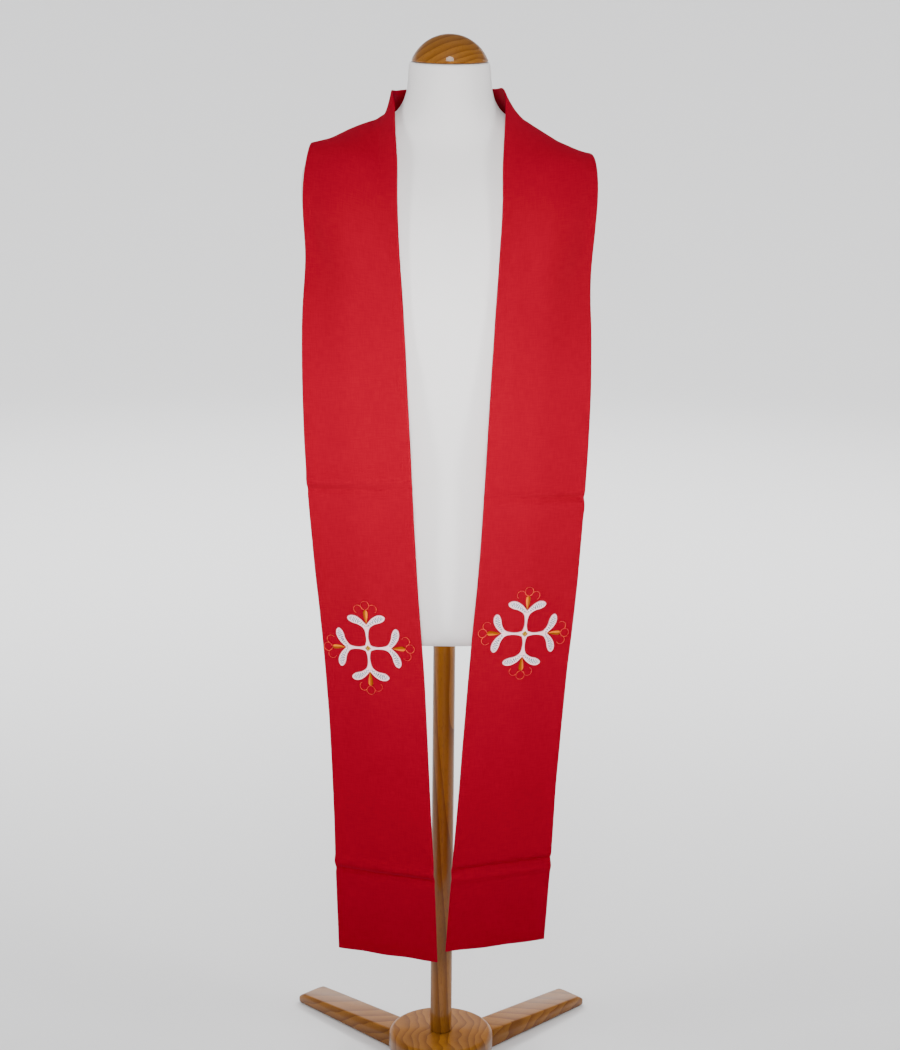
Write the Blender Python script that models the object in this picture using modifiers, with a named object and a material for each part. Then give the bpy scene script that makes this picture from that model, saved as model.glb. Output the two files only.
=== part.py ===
"""Clerical stole laid over a limbless dress form on a wooden stand.

The stole is two straight bands sewn together in a mitred seam behind the neck.  It stands up
round the neck like a collar, lies over both shoulders and hangs down the front.  Metres, +Z up,
front towards -Y, origin on the floor under the middle of the stand.
"""
from collections import namedtuple
from math import asin, cos, pi, radians, sin, sqrt, tan

import bmesh
import bpy
import numpy as np
from mathutils import Vector
from mathutils.bvhtree import BVHTree

# ---------------------------------------------------------------- driving dimensions (metres)
GAP = 0.0003                      # between neighbouring solids

BAND_WIDTH = 0.150                # each band of the stole, edge to edge
BAND_THICKNESS = 0.0022           # two layers of cloth with the interlining between them
MITRE_ANGLE = radians(10)         # each band's end, off square, at the seam behind the neck
MITRE_REACH = 0.150               # along the band from the seam, where its lines are square again
CLOTH_CLEARANCE = 0.0008          # between the form's cover and the cloth lying on it
# Stretches along the inner edge: where each starts, is full, starts to fade and is gone.
BESIDE_NECK = (0.03, 0.11, 0.16, 0.24)
ON_SHOULDER = (0.06, 0.16, 0.26, 0.40)
AT_TIP = (0.04, 0.09, 0.11, 0.16)
TO_THE_CHEST = (0.11, 0.16, 0.18, 0.60)
OVER_BELT = (0.35, 0.46, 0.65, 0.90)
HANGS_FROM = 0.200                # along the inner edge, where a band leaves the neck
DROPS_FROM = 0.350                # and where it starts to hang lower or higher than the table says
# Facets of a band.
ACROSS = 12
SEAM_STRIP = 0.005                # first section, square to the seam
NEAR_NECK_STEP = 0.012            # spacing of the sections over the shoulder
SHOULDER_END = 0.400              # along the inner edge, where wider spacing starts
HANGING_STEP = 0.030
CREASE_STEP = 0.007               # spacing on a crease
CREASE_ROWS = 5
CLOSEST_STEP = 0.0045             # between any two sections
SPREAD_ROUNDS = (9, 3, 1, 0)      # of spreading, each time the cloth is lifted clear of the form
STEEPEST_LIFT = 0.4               # least share of a lift along the cloth's normal that clears it

# Embroidered cross: four equal arms, each a stem that forks into two leaves round a bud.
# Its centre on each band: along the inner edge from the seam, and out from the edge.
CROSS_PLACE = {"left": (0.9118, 0.0796), "right": (0.8972, 0.0762)}
CROSS_THICKNESS = 0.0009          # padded satin stitch above the cloth
CROSS_LIFT = 0.0001               # its underside's height over the gap above the cloth
WELD = 0.00001                    # merging distance of a flat outline's sides and faces
# Half the edge between two arms, from the fork round a leaf and in beside the stem to the
# diagonal: (off the arm's axis, along it).
HALF_EDGE = ((0.0, 0.0345), (0.0085, 0.0432), (0.0145, 0.0467), (0.0205, 0.0480),
             (0.0258, 0.0468), (0.0285, 0.0437), (0.0272, 0.0402), (0.0222, 0.0369),
             (0.0116, 0.0337), (0.0049, 0.0290), (0.0021, 0.0190), (0.0026, 0.0090),
             (0.0042, 0.0042))
HALF_EDGE_POINTS = 24
# Half of a bud's edge, from its base between the leaves to its round end.
BUD_EDGE = ((0.0005, 0.0360), (0.0016, 0.0400), (0.0029, 0.0455), (0.0033, 0.0500),
            (0.0030, 0.0530), (0.0014, 0.0548))
CENTRE_HALF_DIAGONAL = 0.0045

# Dress form and its stand.
FORM_SEGMENTS = 40
FORM_BOTTOM = 0.690
FORM_SHARP = radians(50)          # edges of the cover that turn more than this stay sharp

CAP_RADIUS = 0.052
CAP_HEIGHT = 0.0350               # of the dome above its lip
CAP_LIP = 0.0015
CAP_EDGE_HEIGHT = 0.0008          # the lip's rounded lower edge
CAP_EDGE_WIDTH = 0.0012
CAP_STEPS = 32
DOME_RINGS = 8

POLE_RADIUS = 0.016
POLE_SIDES = 24
HUB_RADIUS = 0.078
HUB_THICKNESS = 0.026
HUB_ROUNDING = 0.008              # of its top edge
HUB_CHAMFER = 0.002               # of its bottom edge
HUB_STEPS = 36
ROUNDING_RINGS = 4
LEGS = 4
LEG_HEIGHT = 0.030                # under the hub
LEG_TIP_HEIGHT = 0.018
LEG_TIP_RISE = 0.011              # height of the tip's upright end face
LEG_TIP_LENGTH = 0.012            # of the short slope above it
LEG_WIDTH = 0.044
LEG_START = 0.031                 # along the leg from the pole's axis
LEG_FLAT_END = 0.098              # where its top starts to slope down
LEG_REACH = 0.300
LEG_BEVEL = 0.004
ROUND_SHARP = radians(40)         # edges of wood that turn more than this stay sharp

# Horizontal rings of the form's covered torso and neck, top to bottom.
Ring = namedtuple("Ring", "z half_width front back roundness")
FORM_RINGS = (
    Ring(1.4895, 0.0490, 0.0490, 0.0490, 2.00),     # rounded top edge of the neck
    Ring(1.4887, 0.0543, 0.0543, 0.0543, 2.00),
    Ring(1.4850, 0.0558, 0.0552, 0.0558, 2.00),
    Ring(1.4650, 0.0565, 0.0555, 0.0565, 2.00),
    Ring(1.4480, 0.0582, 0.0565, 0.0590, 2.00),
    Ring(1.4340, 0.0635, 0.0570, 0.0625, 2.00),
    Ring(1.4230, 0.0710, 0.0573, 0.0660, 1.95),
    Ring(1.4130, 0.0850, 0.0575, 0.0700, 1.85),     # neck runs out into the shoulders
    Ring(1.4040, 0.1030, 0.0580, 0.0735, 1.75),
    Ring(1.3940, 0.1215, 0.0595, 0.0770, 1.70),
    Ring(1.3840, 0.1420, 0.0620, 0.0805, 1.70),
    Ring(1.3740, 0.1645, 0.0655, 0.0840, 1.75),
    Ring(1.3660, 0.1835, 0.0690, 0.0870, 1.80),
    Ring(1.3550, 0.1955, 0.0745, 0.0915, 1.90),
    Ring(1.3400, 0.2010, 0.0820, 0.0990, 2.00),
    Ring(1.3200, 0.2030, 0.0915, 0.1080, 2.15),
    Ring(1.3000, 0.2020, 0.1000, 0.1140, 2.25),     # shoulder ends
    Ring(1.2600, 0.1970, 0.1130, 0.1200, 2.30),
    Ring(1.2100, 0.1880, 0.1230, 0.1210, 2.30),
    Ring(1.1500, 0.1800, 0.1280, 0.1190, 2.30),     # fullest chest
    Ring(1.0800, 0.1660, 0.1260, 0.1120, 2.30),
    Ring(1.0000, 0.1500, 0.1170, 0.1030, 2.30),
    Ring(0.9500, 0.1460, 0.1130, 0.1030, 2.30),     # waist
    Ring(0.8900, 0.1540, 0.1160, 0.1130, 2.30),
    Ring(0.8200, 0.1690, 0.1210, 0.1260, 2.30),
    Ring(0.7600, 0.1750, 0.1220, 0.1290, 2.30),     # hips
    Ring(0.7200, 0.1720, 0.1190, 0.1250, 2.30),
    Ring(0.7020, 0.1640, 0.1120, 0.1180, 2.30),
    Ring(0.6930, 0.1500, 0.1000, 0.1060, 2.30),
    Ring(FORM_BOTTOM, 0.1300, 0.0840, 0.0900, 2.30),
)

# Sections of a band from the seam behind the neck to the hem.  x, y, z: the inner edge, with x
# outward.  From there the cloth first runs down as a stand of its own heading and slope, then
# turns into the panel.  Headings are seen from above, 0 outward and 90 backward; slopes are
# downward; crown is how far the panel's slope changes from its fold to its outer edge (degrees).
Section = namedtuple("Section", "arc x y z stand stand_heading stand_slope heading slope crown")
SECTIONS = (
    Section(0.000, 0.0000, 0.0790, 1.4470, 0.034, 90, 76, 90, 77, 0),        # centre back seam
    Section(0.045, 0.0425, 0.0665, 1.4475, 0.034, 62, 74, 66, 68, 4),
    Section(0.088, 0.0655, 0.0355, 1.4490, 0.036, 40, 71, 60, 56, 16),
    Section(0.128, 0.0738, -0.0010, 1.4500, 0.038, 22, 69, 55, 41, 22),      # side of the neck
    Section(0.160, 0.0738, -0.0255, 1.4295, 0.036, 34, 37, 45, 31, 26),
    Section(0.199, 0.0722, -0.0540, 1.4020, 0.032, 36, 22, 41, 17, 26),
    Section(0.245, 0.0698, -0.0800, 1.3640, 0.030, 33, 8, 36, 1, 16),
    Section(0.303, 0.0690, -0.1030, 1.3110, 0.030, 31, -1, 33, -2, 3),
    Section(0.390, 0.0643, -0.1220, 1.2265, 0.030, 28, -1, 32, -1, 0),
    Section(0.485, 0.0588, -0.1330, 1.1325, 0.030, 20, 2, 24, 2, 0),         # fullest chest
    Section(0.623, 0.0519, -0.1370, 0.9950, 0.030, 17, 4, 18, 4, 0),
    Section(0.793, 0.0428, -0.1385, 0.8255, 0.030, 18, 5, 20, 5, 0),
    Section(0.963, 0.0298, -0.1395, 0.6565, 0.030, 20, 5, 22, 5, 0),
    Section(1.152, 0.0184, -0.1400, 0.4675, 0.030, 20, 2, 22, 2, 0),
    Section(1.249, 0.0122, -0.1405, 0.3715, 0.030, 18, 0, 19, 0, 0),
    Section(1.380, 0.0050, -0.1410, 0.2423, 0.030, 16, 0, 18, 0, 0),         # hem
)

# What differs between the two bands.  drop: the hem hangs lower; dip: the inner edge lies lower
# beside the neck; sway, tip, chest: the inner edge's shift outward half-way down, at the neck's
# side and from the neck to the chest; turn: how much more the panel faces inward over the belt
# (degrees); lift, crown: the outer edge's height and the panel's rounding over the shoulder, above
# the table's; lean, stand: how much steeper (degrees) and wider the stand is beside the neck;
# rounding: the width over which it turns into the panel.
Side = namedtuple("Side", "name sign drop dip sway tip chest turn lift crown lean stand rounding")
SIDES = (
    Side("left", -1, 0.008, 0.002, -0.0040, 0.0048, -0.0013, -4, 0.0205, 16, 5, -0.006, 0.005),
    Side("right", 1, -0.008, -0.002, 0.0035, -0.0030, 0.0010, 4, -0.004, -10, -2, 0.0, 0.010),
)

# Creases across a band: its place along the inner edge, its slant (outer end further down),
# height of the ridge or depth (negative) of the trough, half-width, and how much of its height
# is left at the inner and the outer edge.
Crease = namedtuple("Crease", "side arc slant height half_width at_inner at_outer")
CREASES = (
    Crease("left", 0.689, -0.002, -0.0020, 0.009, 0.2, 1.0),
    Crease("left", 0.674, -0.002, 0.0020, 0.009, 0.2, 1.0),
    Crease("left", 1.248, 0.000, -0.0022, 0.009, 1.0, 0.8),
    Crease("left", 1.233, 0.000, 0.0034, 0.009, 1.0, 0.9),
    Crease("right", 0.702, -0.002, -0.0024, 0.009, 0.3, 1.0),
    Crease("right", 0.718, -0.002, 0.0012, 0.009, 0.1, 1.0),
    Crease("right", 1.255, -0.002, -0.0034, 0.009, 1.0, 1.0),
    Crease("right", 1.270, -0.002, 0.0016, 0.009, 1.0, 1.0),
)


# ---------------------------------------------------------------- helpers
def clear_scene():
    for obj in list(bpy.data.objects):
        bpy.data.objects.remove(obj, do_unlink=True)


def new_collection(name):
    collection = bpy.data.collections.new(name)
    bpy.context.scene.collection.children.link(collection)
    return collection


def principled(name, colour, roughness, metallic=0.0):
    material = bpy.data.materials.new(name)
    material.use_nodes = True
    shader = material.node_tree.nodes["Principled BSDF"]
    shader.inputs["Base Color"].default_value = (*colour, 1.0)
    shader.inputs["Roughness"].default_value = roughness
    shader.inputs["Metallic"].default_value = metallic
    return material


def add_mesh(name, vertices, faces, material, collection):
    mesh = bpy.data.meshes.new(name)
    mesh.from_pydata([tuple(v) for v in vertices], [], faces)
    mesh.materials.append(material)
    obj = bpy.data.objects.new(name, mesh)
    collection.objects.link(obj)
    return obj


def smooth_curve(knots, values, at):
    """Cubic Hermite curve through the values, with slopes taken from each knot's neighbours."""
    knots = np.asarray(knots, float)
    values = np.asarray(values, float)
    slopes = np.gradient(values, knots)
    at = np.asarray(at, float)
    low = np.clip(np.searchsorted(knots, at, side="right") - 1, 0, len(knots) - 2)
    span = knots[low + 1] - knots[low]
    t = (at - knots[low]) / span
    start = values[low] * (2 * t**3 - 3 * t**2 + 1) + slopes[low] * span * (t**3 - 2 * t**2 + t)
    end = values[low + 1] * (3 * t**2 - 2 * t**3) + slopes[low + 1] * span * (t**3 - t**2)
    return start + end


def column(rows, name, key, at):
    return smooth_curve([getattr(row, key) for row in rows], [getattr(row, name) for row in rows], at)


def smoothstep(low, high, value):
    t = np.clip((value - low) / (high - low), 0.0, 1.0)
    return t * t * (3 - 2 * t)


def within(stretch, arc):
    """1 in the middle of a stretch along the band, smoothly down to 0 at its ends."""
    start, full, fades, gone = stretch
    return smoothstep(start, full, arc) * (1 - smoothstep(fades, gone, arc))


# ---------------------------------------------------------------- dress form
def form_outline(ring):
    """Points round one ring, front half and back half each with their own depth."""
    points = []
    for i in range(FORM_SEGMENTS):
        angle = 2 * pi * i / FORM_SEGMENTS
        c, s = cos(angle), sin(angle)
        depth = ring.back if s > 0 else ring.front
        power = 2 / ring.roundness
        x = ring.half_width * np.sign(c) * abs(c) ** power
        y = depth * np.sign(s) * abs(s) ** power
        points.append((x, y, ring.z))
    return points


def ring_faces(count, rings):
    """Quads between stacked rings listed top to bottom, facing outward, with both ends closed."""
    faces = []
    for r in range(rings - 1):
        for i in range(count):
            j = (i + 1) % count
            faces.append((r * count + i, (r + 1) * count + i, (r + 1) * count + j, r * count + j))
    faces.append(tuple(range(count)))
    faces.append(tuple((rings - 1) * count + i for i in reversed(range(count))))
    return faces


def make_form(material, collection):
    vertices = [point for ring in FORM_RINGS for point in form_outline(ring)]
    faces = ring_faces(FORM_SEGMENTS, len(FORM_RINGS))
    form = add_mesh("form_torso", vertices, faces, material, collection)
    form.data.shade_smooth()
    form.data.set_sharp_from_angle(angle=FORM_SHARP)
    return form


def turned(name, profile, steps, material, collection):
    """A profile of (radius, height) from top to bottom, turned round Z by a Screw modifier."""
    mesh = bpy.data.meshes.new(name)
    edges = [(i, i + 1) for i in range(len(profile) - 1)]
    mesh.from_pydata([(radius, 0.0, height) for radius, height in profile], edges, [])
    mesh.materials.append(material)
    obj = bpy.data.objects.new(name, mesh)
    collection.objects.link(obj)
    screw = obj.modifiers.new("turn", "SCREW")
    screw.angle = 2 * pi
    screw.steps = steps
    screw.render_steps = steps
    screw.use_merge_vertices = True
    screw.merge_threshold = 0.0001
    screw.use_smooth_shade = True


def make_cap(material, collection):
    """The varnished dome that closes the neck, a part of a sphere above its lip."""
    bottom = FORM_RINGS[0].z + GAP
    sphere = (CAP_RADIUS**2 + CAP_HEIGHT**2) / (2 * CAP_HEIGHT)
    centre = bottom + CAP_LIP + CAP_HEIGHT - sphere
    profile = []
    for i in range(DOME_RINGS + 1):
        angle = asin(CAP_RADIUS / sphere) * i / DOME_RINGS
        profile.append((sphere * sin(angle), centre + sphere * cos(angle)))
    profile.append((CAP_RADIUS, bottom + CAP_EDGE_HEIGHT))
    profile.append((CAP_RADIUS - CAP_EDGE_WIDTH, bottom))
    profile.append((0.0, bottom))
    turned("form_cap", profile, CAP_STEPS, material, collection)


def make_stand(material, collection):
    """Pole, round hub and four flat feet in a cross."""
    hub_bottom = LEG_HEIGHT + GAP
    hub_top = hub_bottom + HUB_THICKNESS
    pole_bottom = hub_top + GAP
    pole_top = FORM_BOTTOM - GAP
    bpy.ops.mesh.primitive_cylinder_add(
        vertices=POLE_SIDES, radius=POLE_RADIUS, depth=pole_top - pole_bottom,
        location=(0, 0, (pole_top + pole_bottom) / 2))
    pole = bpy.context.active_object
    pole.name = "stand_pole"
    pole.data.name = "stand_pole"
    pole.data.materials.append(material)
    for owner in list(pole.users_collection):
        owner.objects.unlink(pole)
    collection.objects.link(pole)
    pole.data.shade_smooth()
    pole.data.set_sharp_from_angle(angle=ROUND_SHARP)

    profile = [(0.0, hub_top)]
    for i in range(ROUNDING_RINGS + 1):
        angle = pi / 2 * i / ROUNDING_RINGS
        profile.append((HUB_RADIUS - HUB_ROUNDING + HUB_ROUNDING * sin(angle),
                        hub_top - HUB_ROUNDING + HUB_ROUNDING * cos(angle)))
    profile.append((HUB_RADIUS, hub_bottom + HUB_CHAMFER))
    profile.append((HUB_RADIUS - HUB_CHAMFER, hub_bottom))
    profile.append((0.0, hub_bottom))
    turned("stand_hub", profile, HUB_STEPS, material, collection)

    for i in range(LEGS):
        make_leg(f"stand_leg_{i + 1}", 2 * pi * (i + 0.5) / LEGS, material, collection)


def make_leg(name, angle, material, collection):
    """One foot: its side outline, drawn upright, given its width and turned to its place."""
    curve = bpy.data.curves.new(name, "CURVE")
    curve.dimensions = "2D"
    curve.fill_mode = "BOTH"
    curve.extrude = LEG_WIDTH / 2
    spline = curve.splines.new("POLY")
    outline = ((LEG_START, 0.0), (LEG_REACH, 0.0), (LEG_REACH, LEG_TIP_RISE),
               (LEG_REACH - LEG_TIP_LENGTH, LEG_TIP_HEIGHT), (LEG_FLAT_END, LEG_HEIGHT),
               (LEG_START, LEG_HEIGHT))
    spline.points.add(len(outline) - 1)
    for point, (along, height) in zip(spline.points, outline):
        point.co = (along, height, 0.0, 1.0)
    spline.use_cyclic_u = True
    curve.materials.append(material)
    leg = bpy.data.objects.new(name, curve)
    collection.objects.link(leg)
    leg.rotation_euler = (radians(90), 0.0, angle)
    weld = leg.modifiers.new("weld", "WELD")
    weld.merge_threshold = 0.0001
    bevel = leg.modifiers.new("bevel", "BEVEL")
    bevel.width = LEG_BEVEL
    bevel.segments = 2
    bevel.limit_method = "ANGLE"
    bevel.angle_limit = ROUND_SHARP


# ---------------------------------------------------------------- stole
def band_stations(side):
    """Places of the sections along the inner edge, closer over the shoulder and on creases."""
    length = SECTIONS[-1].arc
    over_shoulder = np.arange(NEAR_NECK_STEP, SHOULDER_END, NEAR_NECK_STEP)
    hanging = np.arange(SHOULDER_END, length - HANGING_STEP / 2, HANGING_STEP)
    stations = [0.0, SEAM_STRIP] + list(over_shoulder) + list(hanging) + [length]
    for crease in CREASES:
        if crease.side == side.name:
            near = crease.arc + CREASE_STEP * (np.arange(CREASE_ROWS) - CREASE_ROWS // 2)
            stations = [s for s in stations if abs(s - crease.arc) > CREASE_STEP * CREASE_ROWS / 2]
            stations += list(near)
    kept = []
    for station in sorted(stations):
        if not kept or station - kept[-1] > CLOSEST_STEP:
            kept.append(station)
    kept[-1] = length
    return np.array(kept)


def band_section(values, side, width_step):
    """Points across the band at one station, each one step of cloth on from the last."""
    arc = values["arc"]
    skew = tan(MITRE_ANGLE) * max(0.0, 1.0 - arc / MITRE_REACH)
    step = width_step * sqrt(1 + skew**2)
    hanging = max(0.0, (arc - HANGS_FROM) / (SECTIONS[-1].arc - HANGS_FROM))
    beside_neck = within(BESIDE_NECK, arc)
    on_shoulder = within(ON_SHOULDER, arc)
    x = values["x"] + side.sway * sin(pi * hanging)
    x += side.tip * within(AT_TIP, arc) + side.chest * within(TO_THE_CHEST, arc)
    z = values["z"] - side.drop * smoothstep(DROPS_FROM, SECTIONS[-1].arc, arc)
    z -= side.dip * beside_neck
    lift = np.degrees(side.lift * on_shoulder / BAND_WIDTH)
    crown = values["crown"] + side.crown * on_shoulder
    stand = values["stand"] + side.stand * beside_neck
    panel_heading = values["heading"] + side.turn * within(OVER_BELT, arc)
    point = np.array((max(x, GAP / 2), values["y"], z))
    points = [point]
    for i in range(ACROSS):
        u = (i + 0.5) * width_step
        turn = smoothstep(stand - side.rounding / 2, stand + side.rounding / 2, u)
        panel_share = (u - stand) / (BAND_WIDTH - stand) - 0.5
        stand_slope = values["stand_slope"] + side.lean * beside_neck
        panel_slope = values["slope"] - lift + crown * panel_share
        slope = radians(stand_slope * (1 - turn) + panel_slope * turn)
        heading = radians(values["stand_heading"] * (1 - turn) + panel_heading * turn)
        direction = np.array((cos(heading) * cos(slope), sin(heading) * cos(slope), -sin(slope)))
        point = point + direction * step
        points.append(point)
    return points


def grid_normals(grid, side):
    """Unit normals of the band's grid of points, away from the form."""
    along = np.gradient(grid, axis=0)
    across = np.gradient(grid, axis=1)
    normals = np.cross(across, along) * -side.sign
    return normals / np.linalg.norm(normals, axis=2, keepdims=True)


def sunk_under(point, outward, tree):
    """How far a point must go outward to lie at the cloth's clearance over the form, or 0."""
    place, normal, _, _ = tree.find_nearest(Vector(point))
    height = (Vector(point) - place).dot(normal)
    return max(0.0, CLOTH_CLEARANCE - height) / max(STEEPEST_LIFT, normal.dot(Vector(outward)))


def spread(needed, rounds):
    """Lifts that also raise the cloth round each lifted place, less and less further away."""
    lifts = needed
    for _ in range(rounds):
        framed = np.pad(lifts, 1, mode="edge")
        above, below = framed[:-2, 1:-1], framed[2:, 1:-1]
        before, after = framed[1:-1, :-2], framed[1:-1, 2:]
        lifts = np.maximum(needed, (above + below + before + after) / 4)
    return lifts


def settle(grid, side, tree):
    """Lift points and facets that would sink into the form to just above the form's cover."""
    for rounds in SPREAD_ROUNDS:
        normals = grid_normals(grid, side)
        needed = np.zeros(grid.shape[:2])
        for r, c in np.ndindex(needed.shape):
            needed[r, c] = sunk_under(grid[r, c], normals[r, c], tree)
        for r in range(grid.shape[0] - 1):
            for c in range(grid.shape[1] - 1):
                middle = grid[r:r + 2, c:c + 2].mean(axis=(0, 1))
                middle_needs = sunk_under(middle, normals[r, c], tree)
                needed[r:r + 2, c:c + 2] = np.maximum(needed[r:r + 2, c:c + 2], middle_needs)
        grid = grid + normals * spread(needed, rounds)[:, :, None]
    return grid


def crease_heights(side, stations):
    """How far the creases lift each point of the band's grid."""
    share = np.linspace(0.0, 1.0, ACROSS + 1)
    heights = np.zeros((len(stations), ACROSS + 1))
    for crease in CREASES:
        if crease.side == side.name:
            place = crease.arc + crease.slant * share
            across = crease.at_inner + (crease.at_outer - crease.at_inner) * share
            distance = (stations[:, None] - place[None, :]) / crease.half_width
            heights += crease.height * across[None, :] * np.exp(-distance**2)
    return heights


def band_grid(side, form):
    """The band's inner face as a grid of points, one row for each station."""
    stations = band_stations(side)
    width_step = BAND_WIDTH / ACROSS
    names = Section._fields
    columns = {name: column(SECTIONS, name, "arc", stations) for name in names}
    rows = []
    for i in range(len(stations)):
        values = {name: columns[name][i] for name in names}
        rows.append(band_section(values, side, width_step))
    grid = np.array(rows)
    grid[0, :, 0] = GAP / 2
    grid[:, :, 0] *= side.sign
    tree = BVHTree.FromObject(form, bpy.context.evaluated_depsgraph_get())
    grid = settle(grid, side, tree)
    grid = grid + grid_normals(grid, side) * crease_heights(side, stations)[:, :, None]
    grid = settle(grid, side, tree)
    grid[0, :, 0] = GAP / 2 * side.sign
    grid[1] = grid[0]
    grid[1, :, 0] += SEAM_STRIP * side.sign
    return grid


def make_band(side, grid, material, collection):
    rows, count = grid.shape[:2]
    faces = []
    for r in range(rows - 1):
        for c in range(count - 1):
            corner = r * count + c
            face = (corner, corner + 1, corner + count + 1, corner + count)
            faces.append(face if side.sign < 0 else tuple(reversed(face)))
    band = add_mesh(f"stole_{side.name}", grid.reshape(-1, 3), faces, material, collection)
    solidify = band.modifiers.new("cloth", "SOLIDIFY")
    solidify.thickness = BAND_THICKNESS
    solidify.offset = 1.0
    band.data.shade_smooth()


# ---------------------------------------------------------------- embroidered crosses
def on_arm(points, turn):
    """Points of the upright arm turned clockwise to another arm."""
    angle = -pi / 2 * turn
    spin = np.array(((cos(angle), -sin(angle)), (sin(angle), cos(angle))))
    return points @ spin.T


def cross_outline():
    """The whole white cross as one closed edge, clockwise from the fork of the upright arm."""
    knots = np.array(HALF_EDGE)
    chord = np.concatenate(([0.0], np.cumsum(np.linalg.norm(np.diff(knots, axis=0), axis=1))))
    at = np.linspace(0.0, chord[-1], HALF_EDGE_POINTS)
    half = np.stack([smooth_curve(chord, knots[:, i], at) for i in range(2)], axis=1)
    mirrored = half[-2:0:-1, ::-1]
    quadrant = np.concatenate((half, mirrored))
    return np.concatenate([on_arm(quadrant, turn) for turn in range(4)])


def bud_outline(turn):
    edge = np.array(BUD_EDGE)
    whole = np.concatenate((edge, (edge * (-1, 1))[::-1]))
    return on_arm(whole, turn)


def centre_outline():
    d = CENTRE_HALF_DIAGONAL
    return np.array(((d, 0.0), (0.0, d), (-d, 0.0), (0.0, -d)))


def on_band(side, grid, across, along, height):
    """A point over the band's outer face, from its flat place on the band and its height."""
    stations = band_stations(side)
    row = np.clip(np.searchsorted(stations, along) - 1, 0, len(stations) - 2)
    v = (along - stations[row]) / (stations[row + 1] - stations[row])
    place = across / BAND_WIDTH * ACROSS
    col = min(int(place), ACROSS - 1)
    u = place - col
    corners = grid[row:row + 2, col:col + 2]
    point = ((corners[0, 0] * (1 - u) + corners[0, 1] * u) * (1 - v)
             + (corners[1, 0] * (1 - u) + corners[1, 1] * u) * v)
    normal = np.cross(corners[0, 1] - corners[0, 0], corners[1, 0] - corners[0, 0]) * -side.sign
    return point + normal / np.linalg.norm(normal) * height


def stitched_patch(name, outline, base, side, grid, material, collection):
    """A flat outline given its thickness and laid on the band, its base that high over it."""
    curve = bpy.data.curves.new(name, "CURVE")
    curve.dimensions = "2D"
    curve.fill_mode = "BOTH"
    curve.extrude = CROSS_THICKNESS / 2
    spline = curve.splines.new("POLY")
    spline.points.add(len(outline) - 1)
    for point, (x, y) in zip(spline.points, outline):
        point.co = (x, y, 0.0, 1.0)
    spline.use_cyclic_u = True
    flat = bpy.data.objects.new(name + "_flat", curve)
    collection.objects.link(flat)
    bpy.context.view_layer.update()
    mesh = bpy.data.meshes.new_from_object(flat.evaluated_get(bpy.context.evaluated_depsgraph_get()))
    bpy.data.objects.remove(flat, do_unlink=True)
    mesh.name = name
    shape = bmesh.new()
    shape.from_mesh(mesh)
    bmesh.ops.remove_doubles(shape, verts=shape.verts, dist=WELD)
    down, out = CROSS_PLACE[side.name]
    for vertex in shape.verts:
        height = base + CROSS_THICKNESS / 2 + vertex.co.z
        vertex.co = on_band(side, grid, out + vertex.co.x, down - vertex.co.y, height)
    bmesh.ops.recalc_face_normals(shape, faces=shape.faces)
    if shape.calc_volume(signed=True) < 0:
        bmesh.ops.reverse_faces(shape, faces=shape.faces)
    shape.to_mesh(mesh)
    shape.free()
    mesh.materials.clear()
    mesh.materials.append(material)
    obj = bpy.data.objects.new(name, mesh)
    collection.objects.link(obj)


def make_cross(side, grid, white, gold, collection):
    """White cross on the cloth, gold diamond on its middle and a gold bud past each fork."""
    on_cloth = BAND_THICKNESS + GAP + CROSS_LIFT
    on_cross = on_cloth + CROSS_THICKNESS + GAP
    label = f"embroidery_{side.name}"
    stitched_patch(f"{label}_cross", cross_outline(), on_cloth, side, grid, white, collection)
    stitched_patch(f"{label}_centre", centre_outline(), on_cross, side, grid, gold, collection)
    for turn in range(4):
        name = f"{label}_bud_{turn + 1}"
        stitched_patch(name, bud_outline(turn), on_cloth, side, grid, gold, collection)


# ---------------------------------------------------------------- assembly
def build():
    clear_scene()
    collection = new_collection("clerical stole on dress form")
    red_cloth = principled("red cloth", (0.55, 0.008, 0.024), 0.85)
    cover = principled("cream form cover", (0.72, 0.70, 0.67), 0.8)
    wood = principled("varnished wood", (0.42, 0.19, 0.05), 0.25)
    form = make_form(cover, collection)
    make_cap(wood, collection)
    make_stand(wood, collection)
    white_thread = principled("white thread", (0.80, 0.80, 0.80), 0.5)
    gold_thread = principled("gold thread", (0.72, 0.34, 0.05), 0.45)
    for side in SIDES:
        grid = band_grid(side, form)
        make_band(side, grid, red_cloth, collection)
        make_cross(side, grid, white_thread, gold_thread, collection)


build()
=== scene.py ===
from math import acos, cos, degrees, pi, radians, sin, tan

import bpy
import numpy as np
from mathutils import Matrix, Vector
from mathutils.bvhtree import BVHTree


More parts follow.
